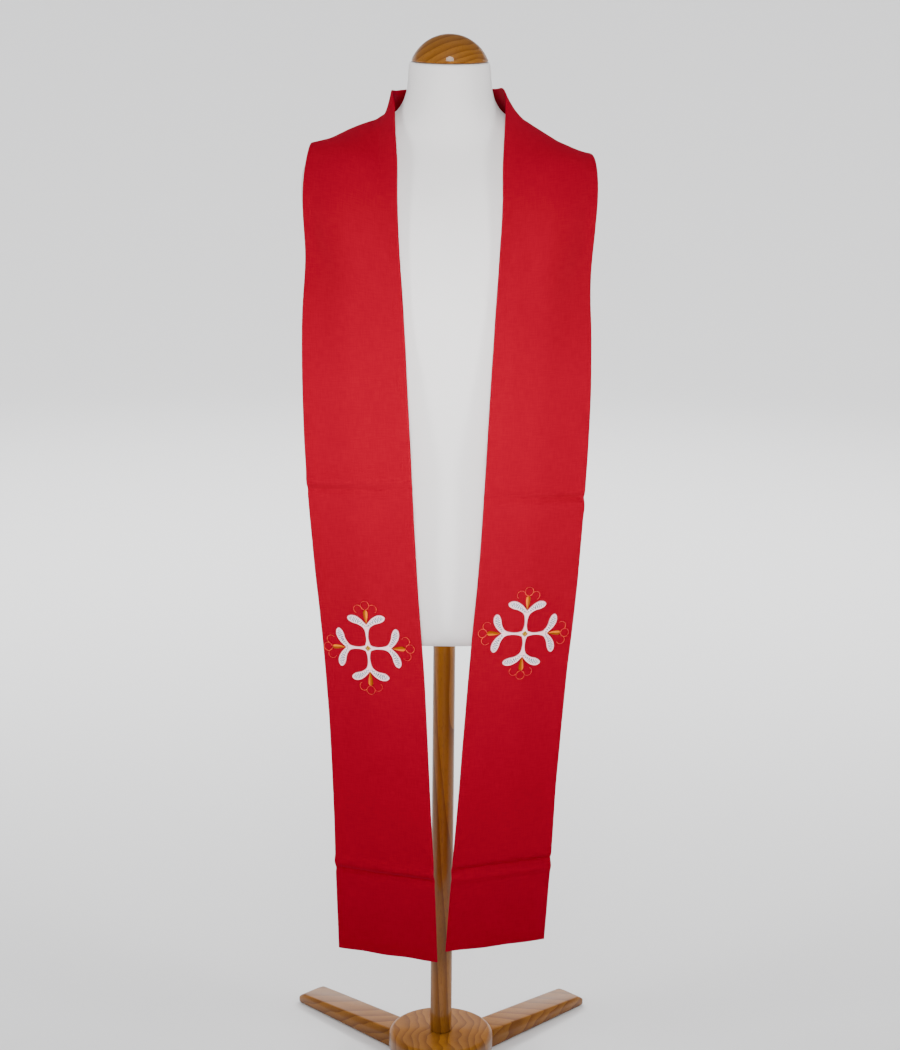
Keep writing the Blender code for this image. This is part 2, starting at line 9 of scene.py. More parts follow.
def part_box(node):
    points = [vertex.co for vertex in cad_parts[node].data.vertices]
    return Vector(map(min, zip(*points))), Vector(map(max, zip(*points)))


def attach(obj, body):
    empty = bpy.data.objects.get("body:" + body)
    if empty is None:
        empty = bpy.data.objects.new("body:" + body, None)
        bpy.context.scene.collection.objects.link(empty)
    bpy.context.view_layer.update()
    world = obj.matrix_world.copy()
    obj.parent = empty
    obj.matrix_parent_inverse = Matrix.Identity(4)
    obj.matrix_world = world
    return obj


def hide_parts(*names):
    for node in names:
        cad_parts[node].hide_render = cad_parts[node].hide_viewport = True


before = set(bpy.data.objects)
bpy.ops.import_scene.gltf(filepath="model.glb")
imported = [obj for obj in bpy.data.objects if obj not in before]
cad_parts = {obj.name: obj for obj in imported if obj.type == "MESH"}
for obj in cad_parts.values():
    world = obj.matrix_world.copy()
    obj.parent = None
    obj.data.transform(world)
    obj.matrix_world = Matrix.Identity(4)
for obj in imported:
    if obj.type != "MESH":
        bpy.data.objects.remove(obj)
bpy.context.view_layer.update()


# ---------------------------------------------------------------- form cover
# A smooth moulded torso with a neck and no head or arms, pulled tight in an off-white stretch
# jersey that is sewn up the centre back and turned in under the bottom edge.
def pick(piece):
    bpy.ops.object.select_all(action="DESELECT")
    piece.select_set(True)
    bpy.context.view_layer.objects.active = piece


def work(piece, kind, **settings):
    """Put a modifier on a piece and apply it."""
    pick(piece)
    step = piece.modifiers.new(kind.lower(), kind)
    for name, value in settings.items():
        setattr(step, name, value)
    bpy.ops.object.modifier_apply(modifier=step.name)


def from_solid(node, name, rounds):
    """A finer copy of a solid: its loose triangles joined into quads and subdivided smooth."""
    piece = bpy.data.objects.new(name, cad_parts[node].data.copy())
    bpy.context.scene.collection.objects.link(piece)
    piece.data.materials.clear()
    pick(piece)
    bpy.ops.object.mode_set(mode="EDIT")
    bpy.ops.mesh.select_all(action="SELECT")
    bpy.ops.mesh.remove_doubles(threshold=0.00001)
    bpy.ops.mesh.tris_convert_to_quads(face_threshold=radians(60), shape_threshold=radians(100))
    bpy.ops.object.mode_set(mode="OBJECT")
    if rounds:
        work(piece, "SUBSURF", levels=rounds, render_levels=rounds)
    return piece


def add(tree, kind, inputs=None, **settings):
    """A shader node; an input that is another node's output is linked, any other is set."""
    node = tree.nodes.new("ShaderNode" + kind)
    for name, value in settings.items():
        setattr(node, name, value)
    for name, value in (inputs or {}).items():
        if isinstance(value, bpy.types.NodeSocket):
            tree.links.new(value, node.inputs[name])
        else:
            node.inputs[name].default_value = value
    return node


def calc(tree, operation, *values):
    """A Math node on numbers and outputs; returns its output."""
    node = add(tree, "Math", dict(enumerate(values)), operation=operation)
    return node.outputs[0]


def between(tree, value, low, high, to_low=0.0, to_high=1.0):
    """A smooth step of a value from low to high."""
    node = add(tree, "MapRange", {"Value": value, "From Min": low, "From Max": high,
                                  "To Min": to_low, "To Max": to_high},
               interpolation_type="SMOOTHSTEP")
    return node.outputs["Result"]


def blend_colours(tree, share, first, second):
    node = add(tree, "Mix", data_type="RGBA")
    for socket, value in ((node.inputs[0], share), (node.inputs[6], first), (node.inputs[7], second)):
        if isinstance(value, bpy.types.NodeSocket):
            tree.links.new(value, socket)
        else:
            socket.default_value = (*value, 1.0) if isinstance(value, tuple) else value
    return node.outputs[2]


def finish(name, roughness, **sockets):
    """A material with its Principled shader's plain values set on the shader itself."""
    material = bpy.data.materials.new(name)
    material.use_nodes = True
    shader = material.node_tree.nodes["Principled BSDF"]
    shader.inputs["Roughness"].default_value = roughness
    for key, value in sockets.items():
        shader.inputs[key.replace("_", " ")].default_value = value
    return material, material.node_tree, shader


def bump(tree, shader, height, distance, strength):
    node = add(tree, "Bump", {"Height": height, "Distance": distance, "Strength": strength})
    tree.links.new(node.outputs["Normal"], shader.inputs["Normal"])


def effect(name, takes, gives):
    """A shader node group with named inputs and outputs, to be placed in several materials."""
    tree = bpy.data.node_groups.new(name, "ShaderNodeTree")
    for label, kind, start in takes:
        socket = tree.interface.new_socket(label, in_out="INPUT", socket_type="NodeSocket" + kind)
        if start is not None:
            socket.default_value = start
    for label, kind in gives:
        tree.interface.new_socket(label, in_out="OUTPUT", socket_type="NodeSocket" + kind)
    source = tree.nodes.new("NodeGroupInput").outputs
    return tree, source, tree.nodes.new("NodeGroupOutput").inputs


def place(tree, group, inputs):
    node = tree.nodes.new("ShaderNodeGroup")
    node.node_tree = group
    for name, value in inputs.items():
        if isinstance(value, bpy.types.NodeSocket):
            tree.links.new(value, node.inputs[name])
        else:
            node.inputs[name].default_value = value
    return node.outputs


# Soft uneven tone, as cloth and wood have it: a number around 1.
mottle, given, made = effect("mottle", (("Vector", "Vector", None), ("Scale", "Float", 20.0),
                                        ("Amount", "Float", 0.1)), (("Tone", "Float"),))
cloud = add(mottle, "TexNoise", {"Vector": given["Vector"], "Scale": given["Scale"],
                                 "Detail": 3.0, "Roughness": 0.6})
spread = calc(mottle, "MULTIPLY", calc(mottle, "SUBTRACT", cloud.outputs["Fac"], 0.5), given["Amount"])
mottle.links.new(calc(mottle, "ADD", calc(mottle, "MULTIPLY", spread, 2.0), 1.0), made["Tone"])

# Rows of thread or of stitches side by side, each a small round ridge: a height from 0 to 1.
rows, given, made = effect("thread rows", (("Place", "Float", 0.0), ("Pitch", "Float", 0.001),
                                           ("Waver", "Float", 0.2), ("Vector", "Vector", None)),
                           (("Height", "Float"),))
waver = add(rows, "TexNoise", {"Vector": given["Vector"], "Scale": 300.0, "Detail": 1.0})
shift = calc(rows, "MULTIPLY", calc(rows, "SUBTRACT", waver.outputs["Fac"], 0.5), given["Waver"])
turns = calc(rows, "ADD", calc(rows, "DIVIDE", given["Place"], given["Pitch"]), shift)
ridge = calc(rows, "ABSOLUTE", calc(rows, "SINE", calc(rows, "MULTIPLY", turns, pi)))
rows.links.new(calc(rows, "POWER", ridge, 0.6), made["Height"])

jersey, tree, shader = finish("off-white jersey", 0.88, Sheen_Weight=0.15, Specular_IOR_Level=0.25)
where = add(tree, "TexCoord").outputs["Object"]
x, y, z = add(tree, "SeparateXYZ", {"Vector": where}).outputs
wales = place(tree, rows, {"Place": calc(tree, "MULTIPLY", add(tree, "Math", {0: x, 1: y},
              operation="ARCTAN2").outputs[0], 0.10), "Pitch": 0.0011, "Waver": 0.3, "Vector": where})
tone = place(tree, mottle, {"Vector": where, "Scale": 9.0, "Amount": 0.03})["Tone"]
off_seam = between(tree, calc(tree, "ABSOLUTE", x), 0.0004, 0.0016)
behind = between(tree, y, -0.01, 0.01)
seam = calc(tree, "MULTIPLY", calc(tree, "SUBTRACT", 1.0, off_seam), behind)
cover_colour = add(tree, "HueSaturation", {"Value": calc(tree, "MULTIPLY", tone,
                   calc(tree, "SUBTRACT", 1.0, calc(tree, "MULTIPLY", seam, 0.35))),
                   "Color": (0.72, 0.70, 0.695, 1.0)})
tree.links.new(cover_colour.outputs["Color"], shader.inputs["Base Color"])
relief = calc(tree, "SUBTRACT", calc(tree, "MULTIPLY", wales["Height"], 0.25), seam)
bump(tree, shader, relief, 0.0005, 0.5)

cover = from_solid("form_torso", "form_cover", 2)
cover.data.materials.append(jersey)
pick(cover)
bpy.ops.object.shade_smooth_by_angle(angle=radians(50))
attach(cover, "root")
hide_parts("form_torso")


# ---------------------------------------------------------------- wooden cap
# A dome turned from golden-brown wood with a thin lip, glossy with varnish, screwed down over
# the open top of the neck.
def turned(name, outline, steps, material):
    """A (radius, height) outline from top to bottom, spun round the upright axis."""
    bpy.ops.object.select_all(action="DESELECT")
    bpy.ops.mesh.primitive_plane_add(size=0.001)
    piece = bpy.context.active_object
    piece.name = name
    shape = piece.data
    shape.clear_geometry()
    shape.from_pydata([(r, 0.0, h) for r, h in outline],
                      [(i, i + 1) for i in range(len(outline) - 1)], [])
    pick(piece)
    bpy.ops.object.mode_set(mode="EDIT")
    bpy.ops.mesh.select_all(action="SELECT")
    bpy.ops.mesh.spin(steps=steps, angle=2 * pi, center=(0, 0, 0), axis=(0, 0, 1))
    bpy.ops.mesh.select_all(action="SELECT")
    bpy.ops.mesh.remove_doubles(threshold=0.00002)
    bpy.ops.mesh.normals_make_consistent(inside=False)
    bpy.ops.object.mode_set(mode="OBJECT")
    piece.data.materials.append(material)
    bpy.ops.object.shade_smooth_by_angle(angle=radians(35))
    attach(piece, "root")
    return piece


def arc(centre, radius, start, end, steps):
    """Points on an arc, as (radius, height) for a turned outline; angles from outward, upward."""
    angles = np.linspace(radians(start), radians(end), steps)
    return [(centre[0] + radius[0] * cos(a), centre[1] + radius[1] * sin(a)) for a in angles]


def varnished(name, tilt, centre, ring_scale):
    """Wood under varnish: growth rings cut through at a slant, fine pores along the grain."""
    material, tree, shader = finish(name, 0.45, Coat_Weight=0.5, Coat_Roughness=0.06, Specular_IOR_Level=0.1)
    where = add(tree, "TexCoord").outputs["Object"]
    turned_to = add(tree, "Mapping", {"Vector": where, "Location": centre,
                                      "Rotation": [radians(a) for a in tilt]}).outputs["Vector"]
    drawn = add(tree, "Mapping", {"Vector": turned_to, "Scale": (1.0, 1.0, 0.12)}).outputs["Vector"]
    bent = add(tree, "TexNoise", {"Vector": drawn, "Scale": 14.0, "Detail": 2.0}).outputs["Fac"]
    across = add(tree, "SeparateXYZ", {"Vector": turned_to}).outputs["X"]
    ring = calc(tree, "FRACT", calc(tree, "ADD", calc(tree, "MULTIPLY", across, ring_scale),
                                    calc(tree, "MULTIPLY", bent, 4.6)))
    late_wood = calc(tree, "POWER", ring, 2.0)
    pores = add(tree, "TexNoise", {"Vector": drawn, "Scale": 900.0, "Detail": 2.0}).outputs["Fac"]
    pored = between(tree, pores, 0.52, 0.68)
    tone = place(tree, mottle, {"Vector": drawn, "Scale": 30.0, "Amount": 0.16})["Tone"]
    golden = blend_colours(tree, late_wood, (0.22, 0.085, 0.012), (0.12, 0.040, 0.006))
    golden = blend_colours(tree, calc(tree, "MULTIPLY", pored, 0.35), golden, (0.08, 0.03, 0.006))
    toned = add(tree, "HueSaturation", {"Value": tone, "Color": golden})
    tree.links.new(toned.outputs["Color"], shader.inputs["Base Color"])
    bump(tree, shader, calc(tree, "ADD", calc(tree, "MULTIPLY", pored, -0.6),
                            calc(tree, "MULTIPLY", late_wood, 0.3)), 0.0002, 0.25)
    return material


cap_wood = varnished("varnished cap wood", (0, -62, 20), (0.0, 0.02, 0.0), 105.0)
low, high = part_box("form_cap")
cap_radius = high.x
dome = high.z - low.z - 0.0015
sphere = (cap_radius**2 + dome**2) / (2 * dome)
outline = arc((0.0, high.z - sphere), (sphere, sphere), 90, degrees(acos(cap_radius / sphere)), 28)
outline += arc((cap_radius - 0.0012, low.z + 0.0012), (0.0012, 0.0012), 0, -90, 5)
outline.append((0.0, low.z))
cap = turned("wooden_cap", outline, 96, cap_wood)
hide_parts("form_cap")


# ---------------------------------------------------------------- stand
# A round pole up into the torso, glued into a turned hub that lies on four flat feet, all of the
# same varnished wood. The feet are screwed to the hub from below.
stand_wood = varnished("varnished stand wood", (0, 4, 0), (0.03, 0.0, 0.0), 70.0)
low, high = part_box("stand_pole")
pole_radius = high.x
outline = [(0.0, high.z), (pole_radius - 0.001, high.z), (pole_radius, high.z - 0.001)]
outline += [(pole_radius, low.z + 0.001), (pole_radius - 0.001, low.z), (0.0, low.z)]
pole = turned("pole", outline, 64, stand_wood)
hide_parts("stand_pole")

low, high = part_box("stand_hub")
hub_radius = high.x
outline = [(0.0, high.z)] + arc((hub_radius - 0.008, high.z - 0.008), (0.008, 0.008), 90, 0, 12)
outline += arc((hub_radius - 0.002, low.z + 0.002), (0.002, 0.002), 0, -90, 5) + [(0.0, low.z)]
hub = turned("hub", outline, 96, stand_wood)
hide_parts("stand_hub")

for number in range(1, 5):
    direction = 90 * number - 45
    foot_wood = varnished(f"varnished foot wood {number}", (0, 90, direction), (0.01, 0.0, 0.0), 60.0)
    foot = from_solid(f"stand_leg_{number}", f"foot_{number}", 0)
    foot.data.materials.append(foot_wood)
    pick(foot)
    bpy.ops.object.shade_smooth_by_angle(angle=radians(50))
    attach(foot, "root")
    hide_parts(f"stand_leg_{number}")


# ---------------------------------------------------------------- stole bands
# Two straight strips of red twill, doubled over an interlining and pressed flat, sewn together in
# a slanted seam behind the neck. Each is cut flat and laid over the form: it stands up round the
# neck, folds over at its side, lies on the shoulder and hangs down the front.
BAND_WIDTH = 0.150
THICKNESS = 0.0022
MITRE = radians(10)               # how far each neck end is cut off square
MITRE_REACH = 0.150               # over what length the slant runs out into the straight strip
HALF_SEAM_GAP = 0.00015           # from the middle to each band's laid end
SEWN_GAP = 0.00002                # from the middle to each band's finished end, drawn up tight
CLEARANCE = 0.0008                # least height over the cover
HANGS_FROM = 0.200
DROPS_FROM = 0.350
ACROSS = 50
ALONG = 462
# Stretches of the inner edge where one band departs from the other: where each starts, is full,
# begins to fade and is gone.
BESIDE_NECK = (0.03, 0.11, 0.16, 0.24)
AT_TIP = (0.04, 0.09, 0.11, 0.16)
TO_THE_CHEST = (0.11, 0.16, 0.18, 0.60)
OVER_BELT = (0.35, 0.46, 0.65, 0.90)
ON_SHOULDER = (0.06, 0.16, 0.26, 0.40)
# Inner edge from the seam to the hem (arc, x outward, y, z); the width, heading and slope of the
# stand round the neck; heading, slope and crown of the panel that turns over from it.
SECTION_KEYS = "arc x y z stand stand_heading stand_slope heading slope crown".split()
SECTIONS = (
    (0.000, 0.0000, 0.0790, 1.4470, 0.034, 90, 76, 90, 77, 0),
    (0.045, 0.0425, 0.0665, 1.4475, 0.034, 62, 74, 66, 68, 4),
    (0.088, 0.0655, 0.0355, 1.4490, 0.036, 40, 71, 60, 56, 16),
    (0.128, 0.0738, -0.0010, 1.4500, 0.038, 22, 69, 55, 41, 22),
    (0.160, 0.0738, -0.0255, 1.4295, 0.036, 34, 37, 45, 31, 26),
    (0.199, 0.0722, -0.0540, 1.4020, 0.032, 36, 22, 41, 17, 26),
    (0.245, 0.0698, -0.0800, 1.3640, 0.030, 33, 8, 36, 1, 16),
    (0.303, 0.0690, -0.1030, 1.3110, 0.030, 31, -1, 33, -2, 3),
    (0.390, 0.0643, -0.1220, 1.2265, 0.030, 28, -1, 32, -1, 0),
    (0.485, 0.0588, -0.1330, 1.1325, 0.030, 20, 2, 24, 2, 0),
    (0.623, 0.0519, -0.1370, 0.9950, 0.030, 17, 4, 18, 4, 0),
    (0.793, 0.0428, -0.1385, 0.8255, 0.030, 18, 5, 20, 5, 0),
    (0.963, 0.0298, -0.1395, 0.6565, 0.030, 20, 5, 22, 5, 0),
    (1.152, 0.0184, -0.1400, 0.4675, 0.030, 20, 2, 22, 2, 0),
    (1.249, 0.0122, -0.1405, 0.3715, 0.030, 18, 0, 19, 0, 0),
    (1.380, 0.0050, -0.1410, 0.2423, 0.030, 16, 0, 18, 0, 0),
)
LENGTH = SECTIONS[-1][0]
# What differs between the bands: lengths in metres, turns and slopes in degrees.
SIDES = {
    "left": dict(sign=-1, drop=0.008, dip=0.002, sway=-0.0040, tip=0.0048, chest=-0.0013, turn=-4,
                 lift=0.0205, crown=16, lean=5, stand=-0.006, rounding=0.005),
    "right": dict(sign=1, drop=-0.008, dip=-0.002, sway=0.0035, tip=-0.0030, chest=0.0010, turn=4,
                  lift=-0.004, crown=-10, lean=-2, stand=0.0, rounding=0.010),
}
# Creases pressed across a band when it was folded away: place down the band, slant, height,
# half-width, and the share of the height that is left at the inner and the outer edge.
CREASES = {
    "left": ((0.688, -0.002, -0.0032, 0.005, 0.2, 1.0), (0.675, -0.002, 0.0038, 0.009, 0.4, 1.0),
             (1.2555, 0.000, -0.0036, 0.0045, 1.0, 0.9), (1.2435, 0.000, 0.0048, 0.0065, 1.0, 1.0)),
    "right": ((0.703, -0.001, -0.0046, 0.0045, 0.2, 1.1), (0.717, -0.001, 0.0026, 0.009, 0.1, 1.0),
              (1.2545, -0.002, -0.0050, 0.0045, 1.0, 1.0), (1.2665, -0.002, 0.0036, 0.006, 1.0, 1.0)),
}
EASED_EDGE = (0.45, 0.006)        # the share of a crease lost at the very edge, and how far in
# Soft troughs beside the neck where the panel is drawn down from its fold: (inner edge place,
# distance across) of both ends, depth and half-width.
PULLS = {
    "left": ((0.134, 0.052, 0.190, 0.040, 0.0030, 0.0050),),
    "right": ((0.100, 0.040, 0.138, 0.050, 0.0034, 0.0050),),
}


def smoothstep(low, high, value):
    t = np.clip((value - low) / (high - low), 0.0, 1.0)
    return t * t * (3 - 2 * t)


def within(stretch, value):
    start, full, fades, gone = stretch
    return smoothstep(start, full, value) * (1 - smoothstep(fades, gone, value))


def smooth_curve(knots, values, at):
    """Cubic curve through the values, with slopes taken from each knot's neighbours."""
    slopes = np.gradient(values, knots)
    low = np.clip(np.searchsorted(knots, at, side="right") - 1, 0, len(knots) - 2)
    span = knots[low + 1] - knots[low]
    t = (at - knots[low]) / span
    start = values[low] * (2 * t**3 - 3 * t**2 + 1) + slopes[low] * span * (t**3 - 2 * t**2 + t)
    end = values[low + 1] * (3 * t**2 - 2 * t**3) + slopes[low + 1] * span * (t**3 - t**2)
    return start + end


def laid_over_form(side):
    """The band's inner face: rows from the seam to the hem, points from the inner edge outward."""
    table = np.array(SECTIONS)
    arcs = np.linspace(0.0, LENGTH, ALONG + 1)
    at = {key: smooth_curve(table[:, 0], table[:, i], arcs) for i, key in enumerate(SECTION_KEYS)}
    facts = SIDES[side]
    hanging = np.clip((arcs - HANGS_FROM) / (LENGTH - HANGS_FROM), 0.0, 1.0)
    beside_neck = within(BESIDE_NECK, arcs)
    x = at["x"] + facts["sway"] * np.sin(pi * hanging)
    x += facts["tip"] * within(AT_TIP, arcs) + facts["chest"] * within(TO_THE_CHEST, arcs)
    z = at["z"] - facts["drop"] * smoothstep(DROPS_FROM, LENGTH, arcs) - facts["dip"] * beside_neck
    on_shoulder = within(ON_SHOULDER, arcs)
    lift = np.degrees(facts["lift"] * on_shoulder / BAND_WIDTH)
    crown = at["crown"] + facts["crown"] * on_shoulder
    stand = at["stand"] + facts["stand"] * beside_neck
    panel_heading = at["heading"] + facts["turn"] * within(OVER_BELT, arcs)
    step = BAND_WIDTH / ACROSS * np.sqrt(1 + (tan(MITRE) * np.clip(1 - arcs / MITRE_REACH, 0, 1))**2)
    point = np.stack((np.maximum(x, HALF_SEAM_GAP), at["y"], z), axis=1)
    columns = [point]
    for i in range(ACROSS):
        u = (i + 0.5) * BAND_WIDTH / ACROSS
        turn = smoothstep(stand - facts["rounding"] / 2, stand + facts["rounding"] / 2, u)
        share = (u - stand) / (BAND_WIDTH - stand) - 0.5
        stand_slope = at["stand_slope"] + facts["lean"] * beside_neck
        panel_slope = at["slope"] - lift + crown * share
        slope = np.radians(stand_slope * (1 - turn) + panel_slope * turn)
        heading = np.radians(at["stand_heading"] * (1 - turn) + panel_heading * turn)
        direction = np.stack((np.cos(heading) * np.cos(slope), np.sin(heading) * np.cos(slope),
                              -np.sin(slope)), axis=1)
        point = point + direction * step[:, None]
        columns.append(point)
    grid = np.stack(columns, axis=1)
    grid[0, :, 0] = HALF_SEAM_GAP
    grid[:, :, 0] *= facts["sign"]
    return grid


def normals_of(grid, sign):
    normals = np.cross(np.gradient(grid, axis=1), np.gradient(grid, axis=0)) * -sign
    return normals / np.linalg.norm(normals, axis=2, keepdims=True)


def pull_depths(u, v, start_v, start_u, end_v, end_u, depth, half_width):
    """A trough along a line over the cloth, deepest in its middle."""
    run = np.hypot(end_v - start_v, end_u - start_u)
    along = ((v - start_v) * (end_v - start_v) + (u - start_u) * (end_u - start_u)) / run**2
    off = ((v - start_v) * (end_u - start_u) - (u - start_u) * (end_v - start_v)) / run
    return -depth * np.exp(-(off / half_width)**2 - ((along - 0.5) / 0.5)**4)


def folds(side):
    """Heights over the laid cloth: creases, a soft fold down the middle, small unevenness."""
    v = np.linspace(0.0, LENGTH, ALONG + 1)[:, None]
    u = np.linspace(0.0, BAND_WIDTH, ACROSS + 1)[None, :]
    share = u / BAND_WIDTH
    heights = np.zeros((ALONG + 1, ACROSS + 1))
    edge_gap = np.minimum(u, BAND_WIDTH - u)
    for down, slant, height, half_width, at_inner, at_outer in CREASES[side]:
        left = at_inner + (at_outer - at_inner) * share
        left = left * (1 - EASED_EDGE[0] * np.exp(-(edge_gap / EASED_EDGE[1])**2))
        heights += height * left * np.exp(-((v - down - slant * share) / half_width)**2)
    phase = 0.0 if side == "left" else 2.1
    # the soft fold down the middle starts below the shoulder and is half as high at the hem
    down_front = smoothstep(0.22, 0.36, v)
    middle = 0.085 if side == "left" else 0.078
    ridge = np.exp(-((u - middle - 0.004 * np.sin(5.0 * v + phase)) / 0.026)**2)
    heights += 0.0024 * down_front * ridge * (1 - 0.5 * smoothstep(0.9, 1.3, v))
    for pull in PULLS[side]:
        heights += pull_depths(u, v, *pull)
    # slow ripples at three pitches that never line up, and a slight wave along the hem
    ripple = (np.sin(38 * v + 21 * u + phase) + np.sin(23 * v - 47 * u + 1.3 + phase)
              + 0.6 * np.sin(71 * v + 13 * u + 2 * phase))
    heights += 0.00022 * ripple * smoothstep(0.02, 0.2, v)
    near_hem = smoothstep(LENGTH - 0.06, LENGTH, v)
    heights += 0.0009 * near_hem * np.sin(95 * u + phase + 0.6)
    return heights


def settled(grid, sign, tree, rounds):
    """Lift the cloth clear of the form, and the cloth round each lifted place along with it."""
    normals = normals_of(grid, sign)
    needed = np.zeros(grid.shape[:2])
    for r, c in np.ndindex(needed.shape):
        point = Vector(grid[r, c])
        nearest, normal, _, _ = tree.find_nearest(point)
        sunk = CLEARANCE - (point - nearest).dot(normal)
        if sunk > 0:
            needed[r, c] = sunk / max(0.4, normal.dot(Vector(normals[r, c])))
    lifts = needed.copy()
    for _ in range(rounds):
        framed = np.pad(lifts, 1, mode="edge")
        around = (framed[:-2, 1:-1] + framed[2:, 1:-1] + framed[1:-1, :-2] + framed[1:-1, 2:]) / 4
        lifts = np.maximum(needed, around)
    return grid + normals * lifts[:, :, None]


red_cloth, tree, shader = finish("red twill", 0.95, Specular_IOR_Level=0.02, Sheen_Weight=0.025,
                                 Sheen_Roughness=0.5, Sheen_Tint=(1.0, 0.55, 0.55, 1.0))
flat = add(tree, "TexCoord").outputs["UV"]
u, v, _ = add(tree, "SeparateXYZ", {"Vector": flat}).outputs
wales = place(tree, rows, {"Place": calc(tree, "ADD", u, calc(tree, "MULTIPLY", v, 0.8)),
                           "Pitch": 0.0011, "Waver": 0.25, "Vector": flat})["Height"]
picks = place(tree, rows, {"Place": v, "Pitch": 0.00045, "Waver": 0.25, "Vector": flat})["Height"]
weft = add(tree, "Mapping", {"Vector": flat, "Scale": (60.0, 700.0, 1.0)}).outputs["Vector"]
warp = add(tree, "Mapping", {"Vector": flat, "Scale": (700.0, 60.0, 1.0)}).outputs["Vector"]
slubs = calc(tree, "ADD", add(tree, "TexNoise", {"Vector": weft, "Scale": 1.0}).outputs["Fac"],
             add(tree, "TexNoise", {"Vector": warp, "Scale": 1.0}).outputs["Fac"])
tone = place(tree, mottle, {"Vector": flat, "Scale": 16.0, "Amount": 0.05})["Tone"]
tone = calc(tree, "MULTIPLY", tone, between(tree, slubs, 0.7, 1.3, 0.94, 1.06))
# Painted shade: the grooves between the twill's wales are painted darker and their crests a little lighter.
tone = calc(tree, "MULTIPLY", tone, between(tree, wales, 0.0, 1.0, 0.93, 1.02))
dye_and_wale_shade = add(tree, "HueSaturation", {"Value": tone, "Color": (0.24, 0.0, 0.0105, 1.0)})
tree.links.new(dye_and_wale_shade.outputs["Color"], shader.inputs["Base Color"])
from_edge = calc(tree, "MINIMUM", u, calc(tree, "SUBTRACT", BAND_WIDTH, u))
turning = between(tree, from_edge, 0.011, 0.014, 1.0, 0.0)
relief = calc(tree, "ADD", calc(tree, "MULTIPLY", wales, 0.5), calc(tree, "MULTIPLY", picks, 0.3))
relief = calc(tree, "ADD", relief, calc(tree, "MULTIPLY", turning, 0.6))
relief = calc(tree, "ADD", relief, calc(tree, "MULTIPLY", slubs, 0.5))
bump(tree, shader, relief, 0.0003, 0.6)

cover_tree = BVHTree.FromObject(cover, bpy.context.evaluated_depsgraph_get())
outer_faces = {}
for side, facts in SIDES.items():
    grid = settled(laid_over_form(side), facts["sign"], cover_tree, 160)
    grid = settled(grid, facts["sign"], cover_tree, 20)
    grid += normals_of(grid, facts["sign"]) * folds(side)[:, :, None]
    grid = settled(grid, facts["sign"], cover_tree, 6)
    grid[0, :, 0] = HALF_SEAM_GAP * facts["sign"]
    outer_faces[side] = grid + normals_of(grid, facts["sign"]) * THICKNESS
    bpy.ops.object.select_all(action="DESELECT")
    bpy.ops.mesh.primitive_grid_add(x_subdivisions=ACROSS, y_subdivisions=ALONG, size=1.0)
    band = bpy.context.active_object
    band.name = f"{side}_band"
    flat_places = np.empty(len(band.data.vertices) * 3)
    band.data.vertices.foreach_get("co", flat_places)
    flat_places = flat_places.reshape(-1, 3) + 0.5
    row = np.rint(flat_places[:, 1] * ALONG).astype(int)
    column = np.rint(flat_places[:, 0] * ACROSS).astype(int)
    band.data.vertices.foreach_set("co", grid[row, column].ravel())
    cut = band.data.uv_layers.active.data
    places = np.empty(len(cut) * 2)
    cut.foreach_get("uv", places)
    cut.foreach_set("uv", (places.reshape(-1, 2) * (BAND_WIDTH, LENGTH)).ravel())
    if facts["sign"] > 0:
        pick(band)
        bpy.ops.object.mode_set(mode="EDIT")
        bpy.ops.mesh.select_all(action="SELECT")
        bpy.ops.mesh.flip_normals()
        bpy.ops.object.mode_set(mode="OBJECT")
    work(band, "SOLIDIFY", thickness=THICKNESS, offset=1.0)
    for index in np.flatnonzero(np.concatenate((row, row)) == 0):
        band.data.vertices[index].co.x = SEWN_GAP * facts["sign"]
    work(band, "BEVEL", width=0.0009, segments=2, limit_method="ANGLE", angle_limit=radians(60))
    band.data.materials.append(red_cloth)
    pick(band)
    bpy.ops.object.shade_smooth_by_angle(angle=radians(60))
    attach(band, "root")
    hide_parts(f"stole_{side}")


# ---------------------------------------------------------------- embroidered crosses
# A foliate cross above each hem, sewn by machine through the cloth: white satin stitch over a
# padded ground, a gold diamond in its middle and a gold bud past the fork of each arm.
# Where each cross lies: down from the seam, and out from the band's inner edge.
CROSS_AT = {"left": (0.9118, 0.0796), "right": (0.8972, 0.0762)}
# Half the edge between two arms: from the fork round a leaf and in beside the stem.
HALF_EDGE = ((0.0, 0.0345), (0.0085, 0.0432), (0.0145, 0.0467), (0.0205, 0.0480),
             (0.0258, 0.0468), (0.0285, 0.0437), (0.0272, 0.0402), (0.0222, 0.0369),
             (0.0116, 0.0337), (0.0049, 0.0290), (0.0021, 0.0190), (0.0026, 0.0090),
             (0.0042, 0.0042))
BUD_EDGE = ((0.0005, 0.0360), (0.0016, 0.0400), (0.0029, 0.0455), (0.0033, 0.0500),
            (0.0030, 0.0530), (0.0014, 0.0548))
DIAMOND = 0.0045
BORDER = 0.0024                   # width of the satin border round each leaf


def spun(points, turn):
    """Points of the upright arm turned clockwise to another arm."""
    angle = -pi / 2 * turn
    return np.asarray(points) @ np.array(((cos(angle), sin(angle)), (-sin(angle), cos(angle))))


def eased(points, count):
    """A smooth line of evenly spread points through a few."""
    points = np.array(points)
    chord = np.concatenate(([0.0], np.cumsum(np.hypot(*np.diff(points, axis=0).T))))
    at = np.linspace(0.0, chord[-1], count)
    return np.stack([smooth_curve(chord, points[:, i], at) for i in range(2)], axis=1)


def cross_outline():
    half = eased(HALF_EDGE, 44)
    quarter = np.concatenate((half, half[-2:0:-1, ::-1]))
    return np.concatenate([spun(quarter, turn) for turn in range(4)])


